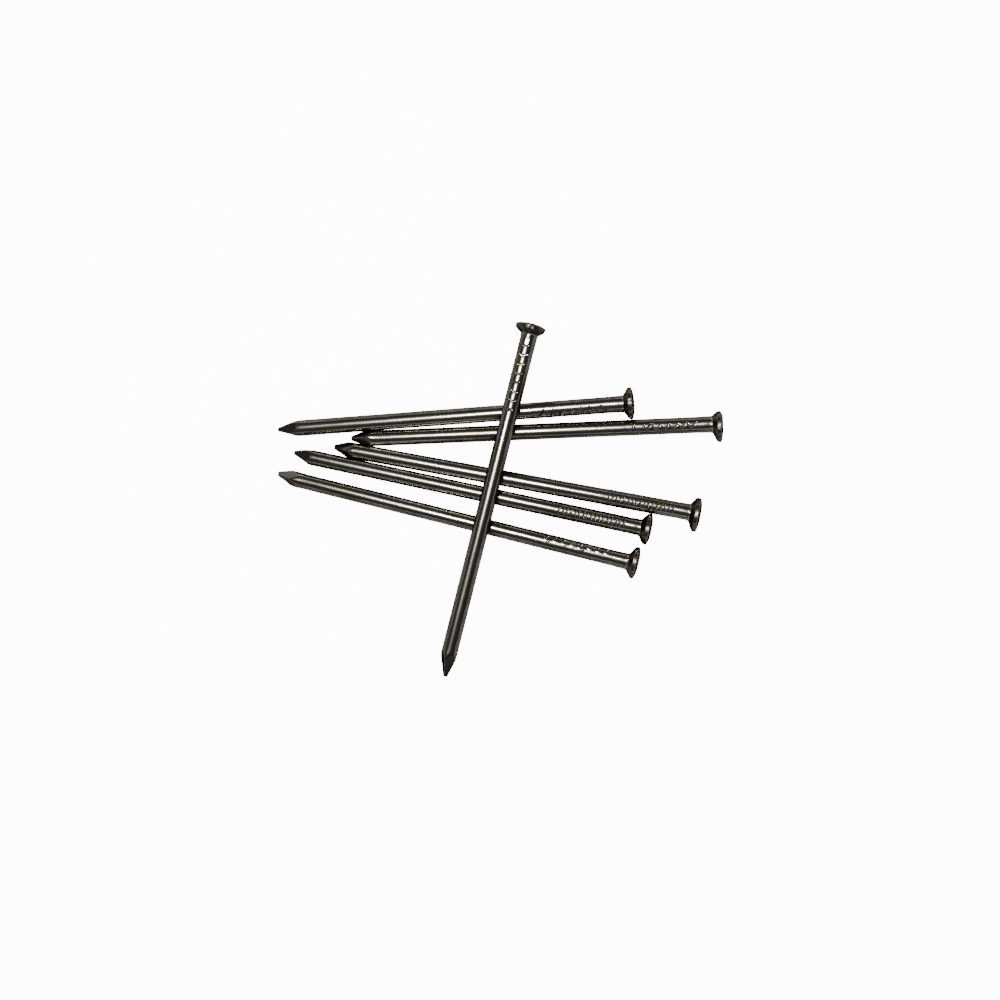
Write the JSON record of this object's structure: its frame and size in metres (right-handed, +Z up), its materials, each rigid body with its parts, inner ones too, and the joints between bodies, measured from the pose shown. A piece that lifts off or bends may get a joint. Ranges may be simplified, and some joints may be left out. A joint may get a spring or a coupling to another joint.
{
  "type": "model railway track spike",
  "caption": "Loose round-wire track spikes with countersunk heads, grip marks and four-sided points, for pinning model track to its sleepers and baseboard.",
  "frame": {"origin": "centre of the pile's footprint, on the flat surface that the spikes lie on", "axes": "+X towards the heads of the side-by-side spikes (longest extent), +Y towards the crossing spike's head, +Z up (shortest extent)"},
  "size_m": [0.0246, 0.0192, 0.0024],
  "materials": {
    "drawn_steel": "bright-drawn steel wire, thinly oiled and slightly darkened, with fine lengthwise drawing marks"
  },
  "bodies": {
    "front_inner_spike": {"front_inner_spike": "drawn_steel"},
    "back_spike": {"back_spike": "drawn_steel"},
    "back_inner_spike": {"back_inner_spike": "drawn_steel"},
    "middle_spike": {"middle_spike": "drawn_steel"},
    "front_spike": {"front_spike": "drawn_steel"},
    "crossing_spike": {"crossing_spike": "drawn_steel"}
  },
  "joints": [
    {"name": "back_spike_draws_out", "type": "slide", "parent": "front_inner_spike", "child": "back_spike", "axis": [0.9848, 0.1736, 0], "range_m": [0, 0.02]},
    {"name": "back_inner_spike_draws_out", "type": "slide", "parent": "front_inner_spike", "child": "back_inner_spike", "axis": [0.9994, 0.0349, 0], "range_m": [0, 0.02]},
    {"name": "middle_spike_draws_out", "type": "slide", "parent": "front_inner_spike", "child": "middle_spike", "axis": [0.9833, -0.1822, 0], "range_m": [0, 0.02]},
    {"name": "front_spike_draws_out", "type": "slide", "parent": "front_inner_spike", "child": "front_spike", "axis": [0.9707, -0.2402, 0], "range_m": [0, 0.02]},
    {"name": "crossing_spike_lifts_off", "type": "slide", "parent": "front_inner_spike", "child": "crossing_spike", "axis": [0, 0, 1], "range_m": [0, 0.015]}
  ]
}
